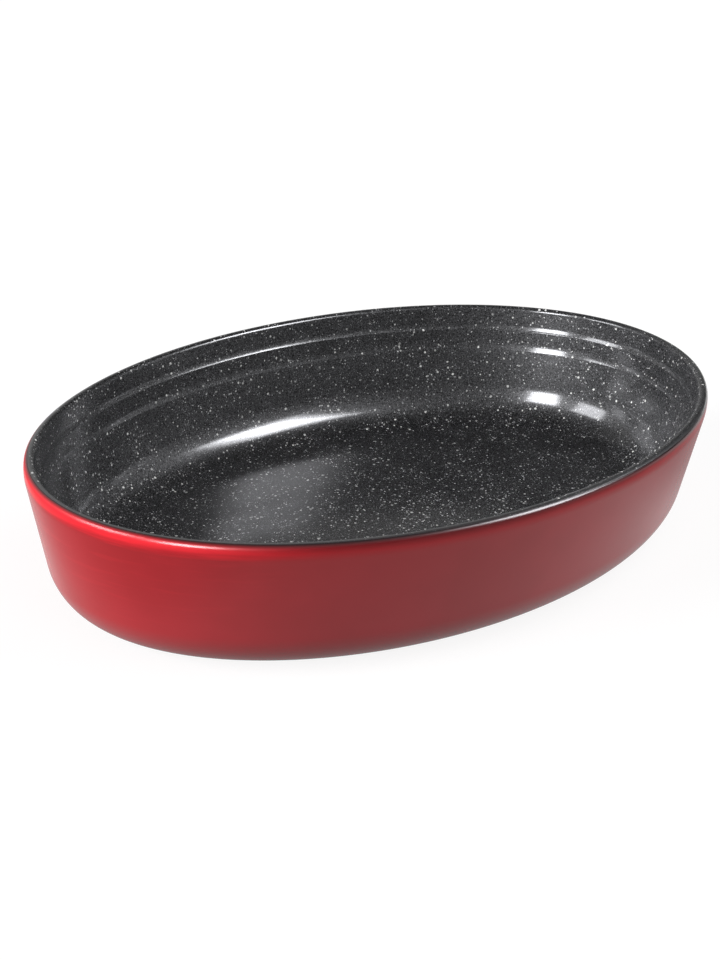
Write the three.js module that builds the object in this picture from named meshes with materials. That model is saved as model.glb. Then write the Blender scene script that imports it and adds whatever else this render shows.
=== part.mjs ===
// An oval baking dish: a cast body with a speckled lining inside it and over its rim,
// a red coat outside it, and the same red in the shallow recess under its base.
// Millimetres, +Z up, X along the dish. The origin is the middle of the base.

import * as THREE from "three";

// The finished dish, over its coats
const dishLength = 320;
const dishWidth = 218;
const dishHeight = 59;

// The casting's rim, which a soft shoulder joins to the outer wall
const rimCrestWidth = 0.1; // the level top between the rim's two roundings
const rimInnerRounding = 1.4;
const rimOuterRounding = 2;
const shoulderRounding = 13.6;
const shoulderStart = 8; // degrees above level that the surface faces where the shoulder begins
const wallDraft = 11.5; // degrees that the wall leans in towards the base
const baseRounding = 21.6;

// The two steps round the inner wall, each a hollow that tilts the wall up to a crisp edge
const steppedWallDraft = 6.5; // degrees, above and between the steps
const stepEdgeRounding = 0.25;
const upperStepDepth = 11.2; // below the rim
const upperStepHollow = 7.4;
const upperStepTilt = 29; // degrees
const lowerStepDepth = 20.7;
const lowerStepHollow = 16.4;
const lowerStepTilt = 20.5;

// The inner wall below the steps, which curves into the floor in two hollows
const lowerWallDraft = 9.5; // degrees
const wallHollow = 26.4;
const floorHollow = 17.9;
const hollowsMeetTilt = 27.5; // degrees, where the wall's hollow passes into the floor's

// The floor, and the foot ring that the dish stands on
const floorThickness = 3.5;
const footWidth = 6;
const recessDepth = 1.2;
const recessSlopeWidth = 2;

// The coats
const liningThickness = 0.4;
const redThickness = 0.4;
const coatLineAngle = 45; // degrees up the rim's outer rounding, where the two coats meet
const coatLineGap = 0.1;
const redFootClearance = 0.5; // from the table to the outer red's lower edge
const recessRedMargin = 0.5;

// How finely the round surfaces are cut into flat ones
const segmentsRound = 60;
const arcTolerance = 0.12; // how far a flat face may lie from the arc that it stands for

// A profile is drawn in a plane across the wall, with the inset from the dish's outline as x
// and the height as y. A surface there faces an angle, which turns from the middle of the dish
// at 0, by way of straight up, to outwards and then straight down.
const FACES_UP = Math.PI / 2;
const FACES_OUT = Math.PI;
const FACES_DOWN = (3 * Math.PI) / 2;
const wallLean = THREE.MathUtils.degToRad(wallDraft);
const steppedWallLean = THREE.MathUtils.degToRad(steppedWallDraft);
const lowerWallLean = THREE.MathUtils.degToRad(lowerWallDraft);
const hollowsMeet = THREE.MathUtils.degToRad(hollowsMeetTilt);

const facing = (angle) => new THREE.Vector2(Math.cos(angle), Math.sin(angle));

// A path along the casting's surface is a list of stations, each a place and the angle it faces.
function startOnArc(centre, radius, angle) {
  return [{ place: centre.clone().addScaledVector(facing(angle), radius), angle }];
}

// Carries a path round an arc until it faces toAngle. A hollow arc has a negative radius.
function turn(path, radius, toAngle) {
  const from = path.at(-1);
  const centre = from.place.clone().addScaledVector(facing(from.angle), -radius);
  const widestStep = 2 * Math.acos(1 - arcTolerance / Math.abs(radius));
  const steps = Math.ceil(Math.abs(toAngle - from.angle) / widestStep);
  for (let i = 1; i <= steps; i += 1) {
    const angle = THREE.MathUtils.lerp(from.angle, toAngle, i / steps);
    path.push({ place: centre.clone().addScaledVector(facing(angle), radius), angle });
  }
}

// Carries a path straight down a wall to a height.
function fallTo(path, height) {
  const { place, angle } = path.at(-1);
  const inset = place.x + (place.y - height) * Math.tan(angle);
  path.push({ place: new THREE.Vector2(inset, height), angle });
}

// Carries a path level to an inset.
function levelTo(path, inset) {
  const { place, angle } = path.at(-1);
  path.push({ place: new THREE.Vector2(inset, place.y), angle });
}

// A step in the inner wall: a hollow tilts it up, and a crisp edge turns it down again.
function stepAt(path, depth, hollow, tiltDegrees, leanBelow) {
  const tilt = THREE.MathUtils.degToRad(tiltDegrees);
  const hollowDrop = hollow * (Math.sin(tilt) - Math.sin(path.at(-1).angle));
  fallTo(path, dishHeight - depth + hollowDrop);
  turn(path, -hollow, tilt);
  turn(path, stepEdgeRounding, leanBelow);
}

// The places of a path, on the casting or a coat's thickness off it
const onCasting = (path) => path.map(({ place }) => place);
const offCasting = (path, thickness) =>
  path.map(({ place, angle }) => place.clone().addScaledVector(facing(angle), thickness));

// The casting's surface under the lining: over the rim, down the stepped wall and onto the floor
const castTop = dishHeight - liningThickness;
const floorTop = recessDepth + floorThickness;
const shoulderFacing = FACES_OUT - THREE.MathUtils.degToRad(shoulderStart);
const shoulderCentreInset = redThickness + shoulderRounding;
const rimCentre = new THREE.Vector2(
  shoulderCentreInset + (shoulderRounding - rimOuterRounding) * Math.cos(shoulderFacing),
  castTop - rimOuterRounding,
);
const coatLine = FACES_OUT - THREE.MathUtils.degToRad(coatLineAngle);
const halfGapAngle = coatLineGap / 2 / rimOuterRounding;

const insidePath = startOnArc(rimCentre, rimOuterRounding, coatLine - halfGapAngle);
turn(insidePath, rimOuterRounding, FACES_UP);
levelTo(insidePath, rimCentre.x + rimCrestWidth);
turn(insidePath, rimInnerRounding, steppedWallLean);
stepAt(insidePath, upperStepDepth, upperStepHollow, upperStepTilt, steppedWallLean);
stepAt(insidePath, lowerStepDepth, lowerStepHollow, lowerStepTilt, lowerWallLean);
const floorHollowHeight = floorHollow * (1 - Math.sin(hollowsMeet));
const wallHollowHeight = wallHollow * (Math.sin(hollowsMeet) - Math.sin(lowerWallLean));
fallTo(insidePath, floorTop + floorHollowHeight + wallHollowHeight);
turn(insidePath, -wallHollow, hollowsMeet);
turn(insidePath, -floorHollow, FACES_UP);

// The casting's surface under the outer red: from the coat line down to just above the table
const redEndSine = (baseRounding - redFootClearance) / (baseRounding + redThickness);
const redEnd = FACES_OUT + Math.asin(redEndSine);
const outsidePath = startOnArc(rimCentre, rimOuterRounding, coatLine + halfGapAngle);
turn(outsidePath, rimOuterRounding, shoulderFacing);
turn(outsidePath, shoulderRounding, FACES_OUT);
turn(outsidePath, shoulderRounding, FACES_OUT + wallLean);
fallTo(outsidePath, baseRounding * (1 - Math.sin(wallLean)));
turn(outsidePath, baseRounding, redEnd);

// The casting's bare surface from there to the foot ring
const barePath = [outsidePath.at(-1)];
turn(barePath, baseRounding, FACES_DOWN);
const footOuterInset = barePath.at(-1).place.x;
const footInnerInset = footOuterInset + footWidth;
const recessInset = footInnerInset + recessSlopeWidth;

// A profile's point, carried round the oval: the outline's own point, moved in square to it
function roundOval(point, segment) {
  const angle = (2 * Math.PI * segment) / segmentsRound;
  const outline = new THREE.Vector2(
    (dishLength / 2) * Math.cos(angle),
    (dishWidth / 2) * Math.sin(angle),
  );
  const outwards = new THREE.Vector2(
    (dishWidth / 2) * Math.cos(angle),
    (dishLength / 2) * Math.sin(angle),
  ).normalize();
  outline.addScaledVector(outwards, -point.x);
  return [outline.x, outline.y, point.y];
}

// The flat triangles between two neighbouring points of a profile. Two pieces that touch pass
// along the same points in opposite directions, so a four-sided face is split by its height and
// not by its direction, and the pieces' triangles match. A level face is flat however it is split.
function addBand(triangles, profile, first, second) {
  const corner = (k, segment) => k * segmentsRound + (segment % segmentsRound);
  const firstIsUpper = profile[first].y > profile[second].y;
  for (let segment = 0; segment < segmentsRound; segment += 1) {
    const a = corner(first, segment);
    const b = corner(first, segment + 1);
    const c = corner(second, segment + 1);
    const d = corner(second, segment);
    if (firstIsUpper) {
      triangles.push(a, b, c, a, c, d);
    } else {
      triangles.push(a, b, d, b, c, d);
    }
  }
}

// A level face across the middle of the dish, from the ring of one profile point
function addLevelFace(positions, triangles, profile, k, facesUp) {
  const middle = positions.length / 3;
  positions.push(0, 0, profile[k].y);
  for (let segment = 0; segment < segmentsRound; segment += 1) {
    const here = k * segmentsRound + segment;
    const next = k * segmentsRound + ((segment + 1) % segmentsRound);
    triangles.push(middle, facesUp ? here : next, facesUp ? next : here);
  }
}

// A closed solid from a profile that runs up on its outer side and down on its inner side.
// A ring's profile closes on itself, and any other begins and ends with a level face.
function sweep(profile, isRing) {
  const positions = [];
  const triangles = [];
  for (const point of profile) {
    for (let segment = 0; segment < segmentsRound; segment += 1) {
      positions.push(...roundOval(point, segment));
    }
  }
  const last = profile.length - 1;
  for (let k = 0; k < last; k += 1) {
    addBand(triangles, profile, k, k + 1);
  }
  if (isRing) {
    addBand(triangles, profile, last, 0);
  } else {
    addLevelFace(positions, triangles, profile, 0, false);
    addLevelFace(positions, triangles, profile, last, true);
  }
  const geometry = new THREE.BufferGeometry();
  geometry.setAttribute("position", new THREE.Float32BufferAttribute(positions, 3));
  geometry.setIndex(triangles);
  geometry.computeVertexNormals();
  return geometry;
}

function makeDishBody() {
  const profile = [
    new THREE.Vector2(recessInset, recessDepth),
    new THREE.Vector2(footInnerInset, 0),
    ...onCasting(barePath).reverse(),
    ...onCasting(outsidePath).reverse().slice(1),
    ...onCasting(insidePath),
  ];
  const bareCasting = new THREE.MeshStandardMaterial({
    color: 0xa3a5a6,
    metalness: 0.9,
    roughness: 0.45,
  });
  return new THREE.Mesh(sweep(profile, false), bareCasting);
}

function makeSpeckledLining() {
  const profile = [
    ...onCasting(insidePath).reverse(),
    ...offCasting(insidePath, liningThickness),
  ];
  const speckledCharcoal = new THREE.MeshStandardMaterial({
    color: 0x3a3a3d,
    metalness: 0,
    roughness: 0.3,
  });
  return new THREE.Mesh(sweep(profile, false), speckledCharcoal);
}

const glossyRed = { color: 0xa8141e, metalness: 0, roughness: 0.2 };

function makeOuterRedCoat() {
  const profile = [
    ...offCasting(outsidePath, redThickness).reverse(),
    ...onCasting(outsidePath),
  ];
  return new THREE.Mesh(sweep(profile, true), new THREE.MeshStandardMaterial(glossyRed));
}

function makeRecessRedCoat() {
  const edgeInset = recessInset + recessRedMargin;
  const profile = [
    new THREE.Vector2(edgeInset, recessDepth - redThickness),
    new THREE.Vector2(edgeInset, recessDepth),
  ];
  return new THREE.Mesh(sweep(profile, false), new THREE.MeshStandardMaterial(glossyRed));
}

const pieces = {
  dish_body: makeDishBody(),
  speckled_lining: makeSpeckledLining(),
  outer_red_coat: makeOuterRedCoat(),
  recess_red_coat: makeRecessRedCoat(),
};

const ovalBakingDish = new THREE.Group();
for (const [name, mesh] of Object.entries(pieces)) {
  mesh.name = name;
  ovalBakingDish.add(mesh);
}

export default ovalBakingDish;
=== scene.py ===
# The looks of an oval baking dish: a cast body with a speckled lining and a coat of red lacquer.
# Metres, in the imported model's frame: +Z up, X along the dish, the origin in the middle of its base.

import math
from collections import namedtuple

import bpy
from mathutils import Matrix, Vector


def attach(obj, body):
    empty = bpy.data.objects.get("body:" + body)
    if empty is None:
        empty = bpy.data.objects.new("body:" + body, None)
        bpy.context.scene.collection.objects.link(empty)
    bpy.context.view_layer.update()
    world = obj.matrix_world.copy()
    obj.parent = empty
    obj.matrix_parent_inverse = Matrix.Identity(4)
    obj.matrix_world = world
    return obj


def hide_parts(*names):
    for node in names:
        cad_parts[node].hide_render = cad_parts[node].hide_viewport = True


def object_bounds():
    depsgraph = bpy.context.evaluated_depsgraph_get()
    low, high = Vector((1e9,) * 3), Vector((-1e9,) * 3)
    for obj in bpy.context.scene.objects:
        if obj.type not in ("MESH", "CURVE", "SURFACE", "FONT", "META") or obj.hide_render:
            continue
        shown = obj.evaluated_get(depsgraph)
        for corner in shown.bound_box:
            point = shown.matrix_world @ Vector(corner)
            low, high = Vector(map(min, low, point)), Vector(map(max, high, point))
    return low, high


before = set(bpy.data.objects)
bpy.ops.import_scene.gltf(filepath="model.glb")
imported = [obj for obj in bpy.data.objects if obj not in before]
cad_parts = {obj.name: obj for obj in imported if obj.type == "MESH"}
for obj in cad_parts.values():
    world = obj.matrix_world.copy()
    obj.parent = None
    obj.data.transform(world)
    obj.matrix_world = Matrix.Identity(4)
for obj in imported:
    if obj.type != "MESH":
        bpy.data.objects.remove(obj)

CAD_LOW, CAD_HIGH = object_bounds()

# The finished dish, over its coats
LENGTH, WIDTH, HEIGHT = CAD_HIGH - CAD_LOW
MIDDLE = Vector((0, 0, HEIGHT / 2))

# The casting's rim and outer wall
RIM_CREST_WIDTH = 0.0001
RIM_OUTER_ROUNDING = 0.002
RIM_INNER_ROUNDING = 0.0014
SHOULDER_ROUNDING = 0.0136
SHOULDER_START = math.radians(8)
WALL_LEAN = math.radians(11.5)
BASE_ROUNDING = 0.0216

# The two steps round the inner wall, each a hollow that ends in a crisp edge
STEPPED_WALL_LEAN = math.radians(6.5)
STEP_EDGE_ROUNDING = 0.00025
UPPER_STEP_DEPTH = 0.0112
UPPER_STEP_HOLLOW = 0.0074
UPPER_STEP_TILT = math.radians(29)
LOWER_STEP_DEPTH = 0.0207
LOWER_STEP_HOLLOW = 0.0164
LOWER_STEP_TILT = math.radians(20.5)

# The inner wall under the steps, the floor, and the foot ring that the dish stands on
LOWER_WALL_LEAN = math.radians(9.5)
WALL_HOLLOW = 0.0264
FLOOR_HOLLOW = 0.0179
HOLLOWS_MEET = math.radians(27.5)
FLOOR_THICKNESS = 0.0035
FOOT_WIDTH = 0.006
RECESS_DEPTH = 0.0012
RECESS_SLOPE_WIDTH = 0.002

# The coats, and the line on the rim's outer rounding where they meet. The line was masked by hand,
# so it climbs towards one end of the dish and drops towards the other.
COAT_THICKNESS = 0.0004
COAT_EDGE_ROUNDING = 0.00012
COAT_LINE_GAP = 0.00002
COAT_LINE_MIDDLE = math.radians(45)
COAT_LINE_SWING = math.radians(32)
COAT_LINE_HIGH_SIDE = math.radians(195)
RED_FOOT_CLEARANCE = 0.0005
RECESS_RED_MARGIN = 0.0005

# Overspray, which fades away from the coat line, and reaches furthest on one side of the dish
OVERSPRAY_REACH = 0.0026
OVERSPRAY_EXTRA_REACH = 0.002
OVERSPRAY_LONG_SIDE = math.radians(250)
OVERSPRAY_SHARPNESS = 6

# How finely the surfaces are drawn
SEGMENTS_ROUND = 288
ARC_STEP = math.radians(3)
COAT_EDGE_STEPS = 14
FLOOR_RINGS = (0.75, 0.5, 0.25)
SHARP_ANGLE = math.radians(35)

# A ramp is a smooth change from to_low to to_high as a value goes from low to high
Ramp = namedtuple("Ramp", "low high to_low to_high")

# Most of a noise lies between these
NOISE_LOW = 0.3
NOISE_HIGH = 0.7

# How near the coat line the lining's gloss starts to change, from 0 where overspray ends to 1 on it
NEAR_LINE = 0.3

# The lining's flecks, from dust to the largest. A share of the cells of the given spacing hold a fleck
# of up to the radius, and the shift keeps one size's cells apart from another's.
Flecks = namedtuple("Flecks", "spacing radius share shift strength colour")
FLECK_SIZES = (
    Flecks(spacing=0.0005, radius=0.0002, share=0.8, shift=0.91, strength=0.5, colour="8a8a8e"),
    Flecks(spacing=0.0008, radius=0.00028, share=0.5, shift=0.73, strength=0.62, colour="b8b8bc"),
    Flecks(spacing=0.0014, radius=0.00037, share=0.46, shift=0.37, strength=1.0, colour="ededee"),
    Flecks(spacing=0.0022, radius=0.00062, share=0.29, shift=0.11, strength=1.0, colour="fafaf8"),
)

# The least radius, the solid core and the least brightness of a fleck, as shares of the whole
SMALLEST_FLECK = 0.45
FLECK_CORE = 0.85
DIMMEST_FLECK = 0.4

# How ragged the flecks are, and how they crowd in places and thin out towards the coat line
RAGGED_EDGE_SIZE = 0.0006
RAGGED_EDGE_SHIFT = 0.0008
CROWD_SIZE = 0.02
CROWDING = (0.5, 1.4)
CROWDING_TOWARDS_LINE = Ramp(low=0.5, high=0.85, to_low=1, to_high=0.3)

# The lining's ground colour and gloss, which differ between its walls, its floor and the coat line
LINING_DARK = "050506"
LINING_PALE = "29292b"
LINING_PALENESS_IN_GRAIN = Ramp(low=0.35, high=0.7, to_low=0, to_high=1)
LINING_OVERSPRAY = "2c2224"
LINING_OVERSPRAY_TOWARDS_LINE = Ramp(low=0.8, high=1, to_low=0, to_high=0.6)
LINING_GRAIN_SIZE = 0.0005
LINING_PATCH_SIZE = 0.004
LINING_ROUGHNESS = (0.46, 0.54)
LINING_ROUGHNESS_AT_LINE = 0.34
SHEEN_FACING_UP = Ramp(low=0.35, high=0.95, to_low=0.5, to_high=0.12)
SHEEN_IN_GRAIN = Ramp(low=0.35, high=0.65, to_low=0.3, to_high=1.7)
SHEEN_AT_LINE = 1.0
COAT_WEIGHT_FACING_UP = Ramp(low=0.5, high=1, to_low=1, to_high=0.58)
LINING_COAT_ROUGHNESS = 0.14
LINING_COAT_IOR = 1.6
LINING_PEEL_SIZE = 0.0016
LINING_PEEL_DEPTH = 0.000015

# The red lacquer, with a painted highlight: a brighter red painted over the shoulder near the -X end,
# where it faces up towards the window light, its edge broken in level streaks
RED_DEEP = "b81822"
RED_BRIGHT = "c01c27"
RED_PAINTED_HIGHLIGHT = "fc2c38"
RED_OVERSPRAY = "2a2022"
RED_CLOUD_SIZE = 0.03
STREAK_LENGTH = 0.03
STREAK_FLATNESS = 14
STREAK_SWING = 0.06
# Where the painted highlight lies: on the up-facing shoulder, and towards the -X end
HIGHLIGHT_FACING_UP = Ramp(low=-0.19, high=0.1, to_low=0, to_high=1)
HIGHLIGHT_ALONG_DISH = Ramp(low=-0.15, high=-0.095, to_low=1, to_high=0)
RED_METALLIC = 0.1
RED_PATCH_SIZE = 0.006
RED_ROUGHNESS = (0.52, 0.58)
RED_COAT_ROUGHNESS = 0.25
RED_COAT_IOR = 1.5
RED_PEEL_SIZE = 0.0022
RED_PEEL_DEPTH = 0.00001

# The bare cast metal
METAL_DARK = "9a9b9c"
METAL_PALE = "b9babb"
METAL_GRAIN_SIZE = 0.0006
METAL_GRAIN_DEPTH = 0.00004
METAL_PATCH_SIZE = 0.002
METAL_ROUGHNESS = (0.38, 0.55)

# The stage's floor, which the dish stands on: as it lights the dish, and as the camera sees it
STAGE_FLOOR_HALF_WIDTH = 12.0
STAGE_FLOOR_DROP = 0.0002
STAGE_FLOOR_GREY = (0.12, 0.12, 0.12, 1)
STAGE_FLOOR_SEEN_GREY = (0.15, 0.15, 0.15, 1)
STAGE_FLOOR_SEEN_GLOW = 0.89

# The stage's floor in the dish's reflections: a pool of light, with a bright stretch to its right
CONTACT_REACH = 0.03
POOL_IN_THE_OPEN = Ramp(low=0.1, high=0.8, to_low=0.5, to_high=1)
POOL_OUTWARDS = Ramp(low=0.13, high=0.32, to_low=0.88, to_high=0.3)
POOL_LEFT_END = Ramp(low=-0.19, high=-0.14, to_low=0.72, to_high=1)
POOL_RIGHT_END = Ramp(low=0.1, high=0.17, to_low=1, to_high=0.68)
BRIGHT_STRETCH = Ramp(low=0.2, high=0.32, to_low=0, to_high=0.7)

# The room, whose level in reflections changes with the direction, and the lamps' colour
WHITE = (1, 1, 1, 1)
FILL_LEVEL = 0.08
BACKDROP_LEVEL = 1.0
ROOM_BEHIND = Ramp(low=0.2, high=0.8, to_low=0.06, to_high=0.52)
ROOM_WINDOW_SIDE = Ramp(low=-0.9, high=-0.3, to_low=0.15, to_high=0)
ROOM_OVERHEAD = Ramp(low=0.5, high=0.9, to_low=0, to_high=0.05)
DAYLIGHT = (0.95, 0.96, 1.0)

# The camera, whose aim is a little left of the dish's middle and below it
CAMERA_SENSOR = 36
CAMERA_LENS = 71.215
CAMERA_AZIMUTH = -41.84
CAMERA_ELEVATION = 24.35
CAMERA_DISTANCE = 0.8
CAMERA_AIM_LEFT = 0.00933
CAMERA_AIM_DOWN = 0.00419
CAMERA_ROLL = math.radians(2.0)

# A profile is drawn in a plane across the wall, with the inset from the dish's outline as x and
# the height as y. A surface there faces an angle, which turns from the middle of the dish at 0,
# by way of straight up, to outwards and then straight down.
FACES_UP = math.pi / 2
FACES_OUT = math.pi
FACES_DOWN = 3 * math.pi / 2


# Paths along the casting's surface, as lists of places and the angles that they face

def facing(angle):
    return Vector((math.cos(angle), math.sin(angle)))


CAST_TOP = HEIGHT - COAT_THICKNESS
FLOOR_TOP = RECESS_DEPTH + FLOOR_THICKNESS
SHOULDER_REACH = SHOULDER_ROUNDING - RIM_OUTER_ROUNDING
RIM_CENTRE = Vector((
    COAT_THICKNESS + SHOULDER_ROUNDING - SHOULDER_REACH * math.cos(SHOULDER_START),
    CAST_TOP - RIM_OUTER_ROUNDING,
))


def turn(path, radius, to_angle, steps=None):
    """Carries a path round an arc until it faces to_angle. A hollow arc has a negative radius."""
    place, from_angle = path[-1]
    centre = place - radius * facing(from_angle)
    steps = steps or math.ceil(abs(to_angle - from_angle) / ARC_STEP)
    for i in range(1, steps + 1):
        angle = from_angle + (to_angle - from_angle) * i / steps
        path.append((centre + radius * facing(angle), angle))


def fall_to(path, height):
    """Carries a path straight down a wall to a height."""
    place, angle = path[-1]
    inset = place.x + (place.y - height) * math.tan(angle)
    path.append((Vector((inset, height)), angle))


def level_to(path, inset):
    """Carries a path level to an inset."""
    place, angle = path[-1]
    path.append((Vector((inset, place.y)), angle))


def step_at(path, depth, hollow, tilt, lean_below):
    """A step in the inner wall: a hollow turns to a tilt, and a crisp edge turns down again."""
    lean_above = path[-1][1]
    hollow_drop = hollow * (math.sin(tilt) - math.sin(lean_above))
    fall_to(path, HEIGHT - depth + hollow_drop)
    turn(path, -hollow, tilt)
    turn(path, STEP_EDGE_ROUNDING, lean_below)


def coat_line(turn_round):
    """The angle up the rim's outer rounding of the line between the coats, round the oval."""
    up = COAT_LINE_MIDDLE + COAT_LINE_SWING * math.cos(turn_round - COAT_LINE_HIGH_SIDE)
    return FACES_OUT - up


def inside_path(turn_round):
    """Under the lining: from the coat line over the rim, down the stepped wall, onto the floor."""
    start = coat_line(turn_round) - COAT_LINE_GAP / 2 / RIM_OUTER_ROUNDING
    path = [(RIM_CENTRE + RIM_OUTER_ROUNDING * facing(start), start)]
    turn(path, RIM_OUTER_ROUNDING, FACES_UP, COAT_EDGE_STEPS)
    level_to(path, RIM_CENTRE.x + RIM_CREST_WIDTH)
    turn(path, RIM_INNER_ROUNDING, STEPPED_WALL_LEAN)
    step_at(path, UPPER_STEP_DEPTH, UPPER_STEP_HOLLOW, UPPER_STEP_TILT, STEPPED_WALL_LEAN)
    step_at(path, LOWER_STEP_DEPTH, LOWER_STEP_HOLLOW, LOWER_STEP_TILT, LOWER_WALL_LEAN)
    hollows_height = FLOOR_TOP + FLOOR_HOLLOW * (1 - math.sin(HOLLOWS_MEET))
    wall_hollow_drop = WALL_HOLLOW * (math.sin(HOLLOWS_MEET) - math.sin(LOWER_WALL_LEAN))
    fall_to(path, hollows_height + wall_hollow_drop)
    turn(path, -WALL_HOLLOW, HOLLOWS_MEET)
    turn(path, -FLOOR_HOLLOW, FACES_UP)
    return path


def outside_path(turn_round):
    """Under the outer red: from the coat line down the wall and round, to just above the table."""
    start = coat_line(turn_round) + COAT_LINE_GAP / 2 / RIM_OUTER_ROUNDING
    end_sine = (BASE_ROUNDING - RED_FOOT_CLEARANCE) / (BASE_ROUNDING + COAT_THICKNESS)
    path = [(RIM_CENTRE + RIM_OUTER_ROUNDING * facing(start), start)]
    turn(path, RIM_OUTER_ROUNDING, FACES_OUT - SHOULDER_START, COAT_EDGE_STEPS)
    turn(path, SHOULDER_ROUNDING, FACES_OUT)
    turn(path, SHOULDER_ROUNDING, FACES_OUT + WALL_LEAN)
    fall_to(path, BASE_ROUNDING * (1 - math.sin(WALL_LEAN)))
    turn(path, BASE_ROUNDING, FACES_OUT + math.asin(end_sine))
    return path


def bare_path(turn_round):
    """The bare casting from the outer red's lower edge to the foot ring."""
    path = [outside_path(turn_round)[-1]]
    turn(path, BASE_ROUNDING, FACES_DOWN)
    return path


def on_casting(path):
    return [place for place, angle in path]


def off_casting(path, thickness):
    return [place + thickness * facing(angle) for place, angle in path]


def coat_surface(path):
    """A coat's own surface over a path, with the corner at the path's start broken."""
    start, angle = path[0]
    corner = start + (COAT_THICKNESS - COAT_EDGE_ROUNDING) * facing(angle)
    return [corner, *off_casting(path, COAT_THICKNESS)]


# Closed meshes from profiles carried round the oval

def turn_of(segment):
    return 2 * math.pi * segment / SEGMENTS_ROUND


def round_oval(point, turn_round):
    """A profile's point, carried round: the outline's own point, moved in square to the outline."""
    along, across = math.cos(turn_round), math.sin(turn_round)
    outline = Vector((LENGTH / 2 * along, WIDTH / 2 * across, point.y))
    outwards = Vector((WIDTH / 2 * along, LENGTH / 2 * across, 0)).normalized()
    return outline - point.x * outwards


def add_level_face(places, faces, ring_start, faces_up):
    """Closes a mesh with a level face across the middle, from the ring that starts at a vertex."""
    rim = places[ring_start:ring_start + SEGMENTS_ROUND]
    starts = [ring_start]
    for share in FLOOR_RINGS:
        starts.append(len(places))
        places.extend(Vector((p.x * share, p.y * share, p.z)) for p in rim)
    middle = len(places)
    places.append(Vector((0, 0, rim[0].z)))
    for segment in range(SEGMENTS_ROUND):
        following = (segment + 1) % SEGMENTS_ROUND
        for outer, inner in zip(starts, starts[1:]):
            corners = [outer + segment, outer + following, inner + following, inner + segment]
            faces.append(corners if faces_up else corners[::-1])
        corners = [starts[-1] + segment, starts[-1] + following, middle]
        faces.append(corners if faces_up else corners[::-1])


def mesh_piece(name, places, faces):
    """A smooth piece from a mesh, with the crisp edges kept."""
    mesh = bpy.data.meshes.new(name)
    mesh.from_pydata(places, [], faces)
    mesh.validate()
    mesh.shade_smooth()
    mesh.set_sharp_from_angle(angle=SHARP_ANGLE)
    piece = bpy.data.objects.new(name, mesh)
    bpy.context.scene.collection.objects.link(piece)
    return piece


def sweep(name, profile_at, is_ring=False):
    """A closed mesh from a profile that runs up on its outer side and down on its inner side.
    A ring's profile closes on itself, and any other begins and ends with a level face."""
    profiles = [profile_at(turn_of(segment)) for segment in range(SEGMENTS_ROUND)]
    count = len(profiles[0])
    places = []
    for k in range(count):
        for segment, profile in enumerate(profiles):
            places.append(round_oval(profile[k], turn_of(segment)))
    faces = []
    for k in range(count if is_ring else count - 1):
        here, above = k * SEGMENTS_ROUND, (k + 1) % count * SEGMENTS_ROUND
        for segment in range(SEGMENTS_ROUND):
            following = (segment + 1) % SEGMENTS_ROUND
            faces.append([here + segment, here + following, above + following, above + segment])
    if not is_ring:
        add_level_face(places, faces, 0, faces_up=False)
        add_level_face(places, faces, (count - 1) * SEGMENTS_ROUND, faces_up=True)
    return mesh_piece(name, places, faces)


def overspray_reach(turn_round):
    nearness = max(0, math.cos(turn_round - OVERSPRAY_LONG_SIDE))
    return OVERSPRAY_REACH + OVERSPRAY_EXTRA_REACH * nearness ** OVERSPRAY_SHARPNESS


def mark_coat_edge(piece):
    """Stores how near each vertex is to the coat line: 1 on it, and 0 where the overspray ends."""
    line = []
    reaches = []
    for segment in range(SEGMENTS_ROUND):
        angle = coat_line(turn_of(segment))
        place = RIM_CENTRE + (RIM_OUTER_ROUNDING + COAT_THICKNESS) * facing(angle)
        line.append(round_oval(place, turn_of(segment)))
        reaches.append(overspray_reach(turn_of(segment)))
    coat_edge = piece.data.attributes.new("coat_edge", "FLOAT", "POINT")
    for vertex in piece.data.vertices:
        segment = vertex.index % SEGMENTS_ROUND
        distance = (vertex.co - line[segment]).length
        coat_edge.data[vertex.index].value = max(0, 1 - distance / reaches[segment])


# The pieces

def make_casting():
    def profile(turn_round):
        bare = on_casting(bare_path(turn_round))
        foot_inner = bare[-1].x + FOOT_WIDTH
        return [
            Vector((foot_inner + RECESS_SLOPE_WIDTH, RECESS_DEPTH)),
            Vector((foot_inner, 0)),
            *bare[::-1],
            *on_casting(outside_path(turn_round))[-2::-1],
            *on_casting(inside_path(turn_round)),
        ]
    return sweep("casting", profile)


def make_lining():
    def profile(turn_round):
        path = inside_path(turn_round)
        return [*on_casting(path)[::-1], *coat_surface(path)]
    lining = sweep("lining", profile)
    mark_coat_edge(lining)
    return lining


def make_outer_red():
    def profile(turn_round):
        path = outside_path(turn_round)
        return [*coat_surface(path)[::-1], *on_casting(path)]
    outer_red = sweep("outer_red", profile, is_ring=True)
    mark_coat_edge(outer_red)
    return outer_red


def make_recess_red():
    def profile(turn_round):
        foot_outer = bare_path(turn_round)[-1][0].x
        edge = foot_outer + FOOT_WIDTH + RECESS_SLOPE_WIDTH + RECESS_RED_MARGIN
        return [
            Vector((edge + COAT_EDGE_ROUNDING, RECESS_DEPTH - COAT_THICKNESS)),
            Vector((edge, RECESS_DEPTH - COAT_THICKNESS + COAT_EDGE_ROUNDING)),
            Vector((edge, RECESS_DEPTH)),
        ]
    return sweep("recess_red", profile)


# Node trees for materials and for the world

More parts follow.
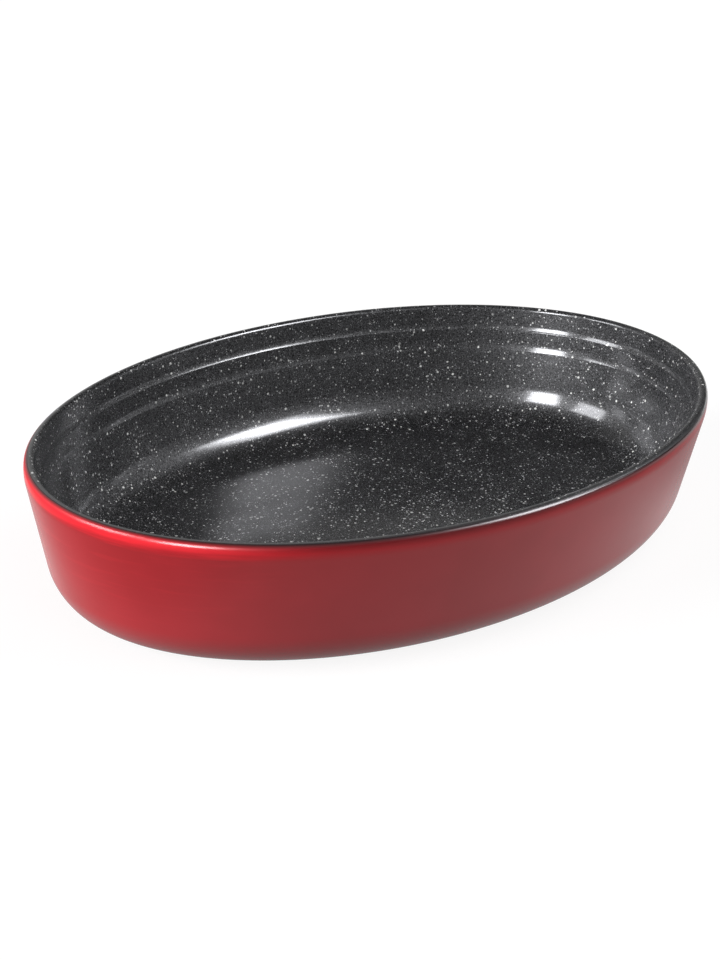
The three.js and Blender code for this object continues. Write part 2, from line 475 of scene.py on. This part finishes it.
class Nodes:
    """Builds a node tree, from inputs that are numbers or other nodes' outputs."""

    def __init__(self, tree):
        self.tree = tree

    def feed(self, value, socket):
        if isinstance(value, bpy.types.NodeSocket):
            self.tree.links.new(value, socket)
        else:
            socket.default_value = value

    def node(self, kind, inputs, **settings):
        node = self.tree.nodes.new("ShaderNode" + kind)
        for name, value in settings.items():
            setattr(node, name, value)
        for key, value in inputs.items():
            self.feed(value, node.inputs[key])
        return node

    def math(self, operation, first, second):
        return self.node("Math", {0: first, 1: second}, operation=operation).outputs[0]

    def product(self, first, *others):
        for other in others:
            first = self.math("MULTIPLY", first, other)
        return first

    def total(self, first, *others):
        for other in others:
            first = self.math("ADD", first, other)
        return first

    def axis(self, vector, name):
        """One of a vector's parts: X, Y or Z."""
        return self.node("SeparateXYZ", {0: vector}).outputs[name]

    def coordinates(self, kind):
        return self.node("TexCoord", {}).outputs[kind]

    def ramp(self, value, low, high, to_low=0.0, to_high=1.0):
        """A smooth change from to_low to to_high as the value goes from low to high."""
        inputs = {
            "Value": value, "From Min": low, "From Max": high, "To Min": to_low, "To Max": to_high,
        }
        return self.node("MapRange", inputs, interpolation_type="SMOOTHSTEP").outputs["Result"]

    def mix(self, factor, first, second):
        """A colour between two colours."""
        node = self.node("Mix", {"Factor": factor}, data_type="RGBA")
        self.feed(first, node.inputs["A"])
        self.feed(second, node.inputs["B"])
        return node.outputs["Result"]

    def mix_shaders(self, factor, first, second):
        return self.node("MixShader", {0: factor, 1: first, 2: second}).outputs[0]

    def rays(self, *names):
        """1 on rays of any of the named kinds, such as Is Camera Ray, and 0 on the others."""
        path = self.node("LightPath", {})
        total = path.outputs[names[0]]
        for name in names[1:]:
            total = self.math("MAXIMUM", total, path.outputs[name])
        return total

    def by_ray(self, lighting, mirrored, seen):
        """One shader for the light on the dish, one for its reflections, and one for the camera."""
        reflections = self.rays("Is Glossy Ray", "Is Transmission Ray")
        unseen = self.mix_shaders(reflections, lighting, mirrored)
        return self.mix_shaders(self.rays("Is Camera Ray"), unseen, seen)


class Finish(Nodes):
    """A material's node tree, with the texture places in metres."""

    def __init__(self, name):
        self.material = bpy.data.materials.new(name)
        self.material.use_nodes = True
        super().__init__(self.material.node_tree)
        self.shader = self.tree.nodes["Principled BSDF"]
        self.place = self.coordinates("Object")
        self.upward = self.axis(self.coordinates("Normal"), "Z")
        self.coat_edge = self.node("Attribute", {}, attribute_name="coat_edge").outputs["Fac"]

    def noise(self, size, detail=2.0, squeeze=(1, 1, 1), output="Fac"):
        """A noise whose features are about size metres across, squeezed so many times on each axis."""
        inputs = {0: self.place, 1: squeeze}
        squeezed = self.node("VectorMath", inputs, operation="MULTIPLY").outputs[0]
        inputs = {"Vector": squeezed, "Scale": 1 / size, "Detail": detail}
        return self.node("TexNoise", inputs).outputs[output]

    def follow(self, noise, to_low=0.0, to_high=1.0):
        """A change from to_low to to_high over most of a noise's range."""
        return self.ramp(noise, NOISE_LOW, NOISE_HIGH, to_low, to_high)

    def near_line(self, elsewhere, on_line):
        """A change from one number to another towards the coat line."""
        return self.ramp(self.coat_edge, NEAR_LINE, 1.0, elsewhere, on_line)

    def shaken(self, size, amount):
        """The texture place, moved by a noise up to about half of amount each way."""
        noise = self.noise(size, detail=3.0, output="Color")
        inputs = {0: noise, 1: (0.5, 0.5, 0.5)}
        centred = self.node("VectorMath", inputs, operation="SUBTRACT").outputs[0]
        inputs = {0: centred, 1: (amount, amount, amount), 2: self.place}
        return self.node("VectorMath", inputs, operation="MULTIPLY_ADD").outputs[0]

    def bump(self, height, depth):
        inputs = {"Height": height, "Distance": depth}
        self.set(Normal=self.node("Bump", inputs).outputs["Normal"])

    def set(self, **values):
        for name, value in values.items():
            self.feed(value, self.shader.inputs[name.replace("_", " ")])


def colour(hex_code):
    """A linear colour from a screen colour such as a8141e."""
    channels = [int(hex_code[i:i + 2], 16) / 255 for i in (0, 2, 4)]
    linear = [c / 12.92 if c <= 0.04045 else ((c + 0.055) / 1.055) ** 2.4 for c in channels]
    return (*linear, 1.0)


# The lining's material

def flecks(finish, place, crowding, size):
    """A scatter of flecks of one size: balls in some of the cells of a grid, cut by the surface."""
    shift = (size.shift, size.shift, size.shift)
    moved = finish.node("VectorMath", {0: place, 1: shift}, operation="ADD").outputs[0]
    cells = finish.node("TexVoronoi", {"Vector": moved, "Scale": 1 / size.spacing})
    chance = finish.node("SeparateColor", {0: cells.outputs["Color"]}).outputs
    kept = finish.math("LESS_THAN", chance["Red"], finish.product(crowding, size.share))
    widest = size.radius / size.spacing
    reach = finish.ramp(chance["Green"], 0, 1, SMALLEST_FLECK * widest, widest)
    core = finish.product(reach, FLECK_CORE)
    ball = finish.ramp(cells.outputs["Distance"], core, reach, 1, 0)
    brightness = finish.ramp(chance["Blue"], 0, 1, DIMMEST_FLECK, 1)
    return finish.product(ball, kept, brightness, size.strength)


def lining_colour(finish, grain):
    """Grainy charcoal under flecks that crowd in places and thin out at the rim, and overspray."""
    place = finish.shaken(RAGGED_EDGE_SIZE, RAGGED_EDGE_SHIFT)
    crowds = finish.follow(finish.noise(CROWD_SIZE, detail=3.0), *CROWDING)
    crowding = finish.product(crowds, finish.ramp(finish.coat_edge, *CROWDING_TOWARDS_LINE))
    paleness = finish.ramp(grain, *LINING_PALENESS_IN_GRAIN)
    coat = finish.mix(paleness, colour(LINING_DARK), colour(LINING_PALE))
    for size in FLECK_SIZES:
        coat = finish.mix(flecks(finish, place, crowding, size), coat, colour(size.colour))
    overspray = finish.ramp(finish.coat_edge, *LINING_OVERSPRAY_TOWARDS_LINE)
    return finish.mix(overspray, coat, colour(LINING_OVERSPRAY))


def lining_sheen(finish, grain):
    """The ground colour's sheen, which is grainy, dull on the floor and strong at the coat line."""
    even = finish.ramp(finish.upward, *SHEEN_FACING_UP)
    grainy = finish.product(even, finish.ramp(grain, *SHEEN_IN_GRAIN))
    return finish.total(grainy, finish.near_line(0.0, SHEEN_AT_LINE))


def make_lining_material():
    finish = Finish("speckled_non_stick")
    grain = finish.noise(LINING_GRAIN_SIZE)
    roughness = finish.follow(finish.noise(LINING_PATCH_SIZE), *LINING_ROUGHNESS)
    finish.set(
        Base_Color=lining_colour(finish, grain),
        Roughness=finish.near_line(roughness, LINING_ROUGHNESS_AT_LINE),
        Specular_IOR_Level=lining_sheen(finish, grain),
        Coat_Weight=finish.ramp(finish.upward, *COAT_WEIGHT_FACING_UP),
        Coat_Roughness=LINING_COAT_ROUGHNESS,
        Coat_IOR=LINING_COAT_IOR,
    )
    finish.bump(finish.noise(LINING_PEEL_SIZE), LINING_PEEL_DEPTH)
    return finish.material


# The red lacquer and the bare metal

def painted_highlight_strength(finish):
    """How strong the painted highlight is: a brighter red painted where the shoulder faces up towards
    the window light, 1 on the shoulder at the -X end, less down the wall and along it.
    """
    streaks = finish.noise(STREAK_LENGTH, squeeze=(1, 1, STREAK_FLATNESS))
    uneven = finish.total(finish.upward, finish.follow(streaks, -STREAK_SWING, STREAK_SWING))
    on_shoulder = finish.ramp(uneven, *HIGHLIGHT_FACING_UP)
    near_end = finish.ramp(finish.axis(finish.place, "X"), *HIGHLIGHT_ALONG_DISH)
    return finish.product(on_shoulder, near_end)


def red_colour(finish):
    clouds = finish.follow(finish.noise(RED_CLOUD_SIZE))
    red = finish.mix(clouds, colour(RED_DEEP), colour(RED_BRIGHT))
    # A brighter red is painted in here as a highlight over the shoulder near the -X end
    lacquer = finish.mix(painted_highlight_strength(finish), red, colour(RED_PAINTED_HIGHLIGHT))
    return finish.mix(finish.ramp(finish.coat_edge, 0.0, 1.0), lacquer, colour(RED_OVERSPRAY))


def make_red_material():
    finish = Finish("red_lacquer")
    finish.set(
        Base_Color=red_colour(finish),
        Metallic=RED_METALLIC,
        Roughness=finish.follow(finish.noise(RED_PATCH_SIZE), *RED_ROUGHNESS),
        Specular_IOR_Level=0.0,
        Coat_Weight=1.0,
        Coat_Roughness=RED_COAT_ROUGHNESS,
        Coat_IOR=RED_COAT_IOR,
    )
    finish.bump(finish.noise(RED_PEEL_SIZE, detail=1.0), RED_PEEL_DEPTH)
    return finish.material


def make_casting_material():
    finish = Finish("cast_aluminium")
    grain = finish.noise(METAL_GRAIN_SIZE, detail=4.0)
    finish.set(
        Base_Color=finish.mix(finish.follow(grain), colour(METAL_DARK), colour(METAL_PALE)),
        Metallic=1.0,
        Roughness=finish.follow(finish.noise(METAL_PATCH_SIZE, detail=3.0), *METAL_ROUGHNESS),
    )
    finish.bump(grain, METAL_GRAIN_DEPTH)
    return finish.material


def finish_piece(piece, node, material):
    piece.data.materials.append(material)
    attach(piece, "root")
    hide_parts(node)


# The stage: floor, world, lights and camera

def mirrored_floor_level(nodes):
    """How bright the floor is in the dish's reflections: a pool of light round the dish, dimmer where
    the dish shades it and past its ends, with a bright stretch further out on the +X side."""
    openness = nodes.node("AmbientOcclusion", {"Distance": CONTACT_REACH}).outputs["AO"]
    contact = nodes.ramp(openness, *POOL_IN_THE_OPEN)
    place = nodes.coordinates("Object")
    distance = nodes.node("VectorMath", {0: place}, operation="LENGTH").outputs["Value"]
    along = nodes.axis(place, "X")
    ends = nodes.product(nodes.ramp(along, *POOL_LEFT_END), nodes.ramp(along, *POOL_RIGHT_END))
    pool = nodes.product(contact, nodes.ramp(distance, *POOL_OUTWARDS), ends)
    return nodes.total(pool, nodes.ramp(along, *BRIGHT_STRETCH))


def make_floor_material():
    material = bpy.data.materials.new("pale_floor")
    material.use_nodes = True
    nodes = Nodes(material.node_tree)
    pale = nodes.node("BsdfDiffuse", {"Color": STAGE_FLOOR_GREY}).outputs[0]
    mirrored = nodes.node("Emission", {"Strength": mirrored_floor_level(nodes)}).outputs[0]
    shaded = nodes.node("BsdfDiffuse", {"Color": STAGE_FLOOR_SEEN_GREY}).outputs[0]
    glow = nodes.node("Emission", {"Strength": STAGE_FLOOR_SEEN_GLOW}).outputs[0]
    seen = nodes.node("AddShader", {0: shaded, 1: glow}).outputs[0]
    nodes.feed(nodes.by_ray(pale, mirrored, seen), nodes.tree.nodes["Material Output"].inputs[0])
    return material


def make_floor():
    half = STAGE_FLOOR_HALF_WIDTH
    mesh = bpy.data.meshes.new("floor")
    corners = [(-half, -half, 0), (half, -half, 0), (half, half, 0), (-half, half, 0)]
    mesh.from_pydata(corners, [], [[0, 1, 2, 3]])
    mesh.materials.append(make_floor_material())
    floor = bpy.data.objects.new("floor", mesh)
    floor.location.z = -STAGE_FLOOR_DROP
    bpy.context.scene.collection.objects.link(floor)


def room_level(nodes):
    """How bright the room is in reflections: brightest behind the dish, and dim in front."""
    sight = nodes.coordinates("Generated")
    behind = nodes.ramp(nodes.axis(sight, "Y"), *ROOM_BEHIND)
    window_side = nodes.ramp(nodes.axis(sight, "X"), *ROOM_WINDOW_SIDE)
    overhead = nodes.ramp(nodes.axis(sight, "Z"), *ROOM_OVERHEAD)
    return nodes.total(behind, window_side, overhead)


def make_world():
    """An even fill, a room for reflections, and white behind the dish."""
    world = bpy.data.worlds.new("studio")
    bpy.context.scene.world = world
    world.use_nodes = True
    nodes = Nodes(world.node_tree)
    fill = nodes.node("Background", {"Color": WHITE, "Strength": FILL_LEVEL}).outputs[0]
    room = nodes.node("Background", {"Color": WHITE, "Strength": room_level(nodes)}).outputs[0]
    backdrop = nodes.node("Background", {"Color": WHITE, "Strength": BACKDROP_LEVEL}).outputs[0]
    nodes.feed(nodes.by_ray(fill, room, backdrop), nodes.tree.nodes["World Output"].inputs[0])


def direction(azimuth, elevation):
    """From the dish towards a viewer: azimuth 0 stands on the -Y side, and 90 on the +X side."""
    a, e = math.radians(azimuth), math.radians(elevation)
    return Vector((math.sin(a) * math.cos(e), -math.cos(a) * math.cos(e), math.sin(e)))


def add_lamp(light, place, aim):
    lamp = bpy.data.objects.new(light.name, light)
    lamp.location = place
    lamp.rotation_euler = (aim - place).to_track_quat("-Z", "Y").to_euler()
    lamp.visible_camera = False
    bpy.context.scene.collection.objects.link(lamp)
    return lamp


def make_panel(name, azimuth, elevation, distance, width, height, radiance):
    """A bright rectangle that shows in reflections, with the radiance that a mirror would show."""
    light = bpy.data.lights.new(name, "AREA")
    light.shape = "RECTANGLE"
    light.size, light.size_y = width, height
    light.energy = radiance * math.pi * width * height
    light.color = DAYLIGHT
    place = MIDDLE + distance * direction(azimuth, elevation)
    add_lamp(light, place, MIDDLE).visible_diffuse = False


def make_soft_light(name, azimuth, elevation, spread, level):
    """Even light from one side. On a white surface that faces it, it renders at the level."""
    light = bpy.data.lights.new(name, "SUN")
    light.energy = math.pi * level
    light.angle = math.radians(spread)
    add_lamp(light, direction(azimuth, elevation), Vector((0, 0, 0))).visible_glossy = False


def make_lights():
    make_panel(
        "right_softbox", azimuth=40, elevation=36, distance=0.94,
        width=0.28, height=0.34, radiance=14.5,
    )
    make_panel(
        "right_softbox_edge", azimuth=40, elevation=36, distance=0.95,
        width=0.42, height=0.46, radiance=8.5,
    )
    make_panel(
        "left_window", azimuth=-65.5, elevation=19, distance=1.2,
        width=0.37, height=0.6, radiance=24,
    )
    make_panel(
        "left_window_far_pane", azimuth=-104.5, elevation=25.5, distance=1.2,
        width=0.53, height=0.53, radiance=10,
    )
    make_soft_light("window_light", azimuth=-110, elevation=20, spread=40, level=1.25)
    make_soft_light("right_light", azimuth=65, elevation=30, spread=60, level=0.4)
    make_soft_light("front_light", azimuth=10, elevation=60, spread=60, level=0.3)


def make_camera():
    """Where the photograph was taken from."""
    data = bpy.data.cameras.new("camera")
    data.sensor_width = CAMERA_SENSOR
    data.lens = CAMERA_LENS
    camera = bpy.data.objects.new("camera", data)
    bpy.context.scene.collection.objects.link(camera)
    bpy.context.scene.camera = camera
    back = direction(CAMERA_AZIMUTH, CAMERA_ELEVATION)
    place = MIDDLE + CAMERA_DISTANCE * back
    right = (-back).cross(Vector((0, 0, 1))).normalized()
    up = right.cross(-back)
    aim = MIDDLE - CAMERA_AIM_LEFT * right - CAMERA_AIM_DOWN * up
    forward = (aim - place).normalized()
    level = forward.to_track_quat("-Z", "Y").to_matrix().to_4x4()
    roll = Matrix.Rotation(CAMERA_ROLL, 4, "Z")
    camera.matrix_world = Matrix.Translation(place) @ level @ roll


finish_piece(make_casting(), "dish_body", make_casting_material())
finish_piece(make_lining(), "speckled_lining", make_lining_material())
red_lacquer = make_red_material()
finish_piece(make_outer_red(), "outer_red_coat", red_lacquer)
finish_piece(make_recess_red(), "recess_red_coat", red_lacquer)
make_floor()
make_world()
make_lights()
make_camera()
bpy.context.scene.view_settings.view_transform = "Standard"
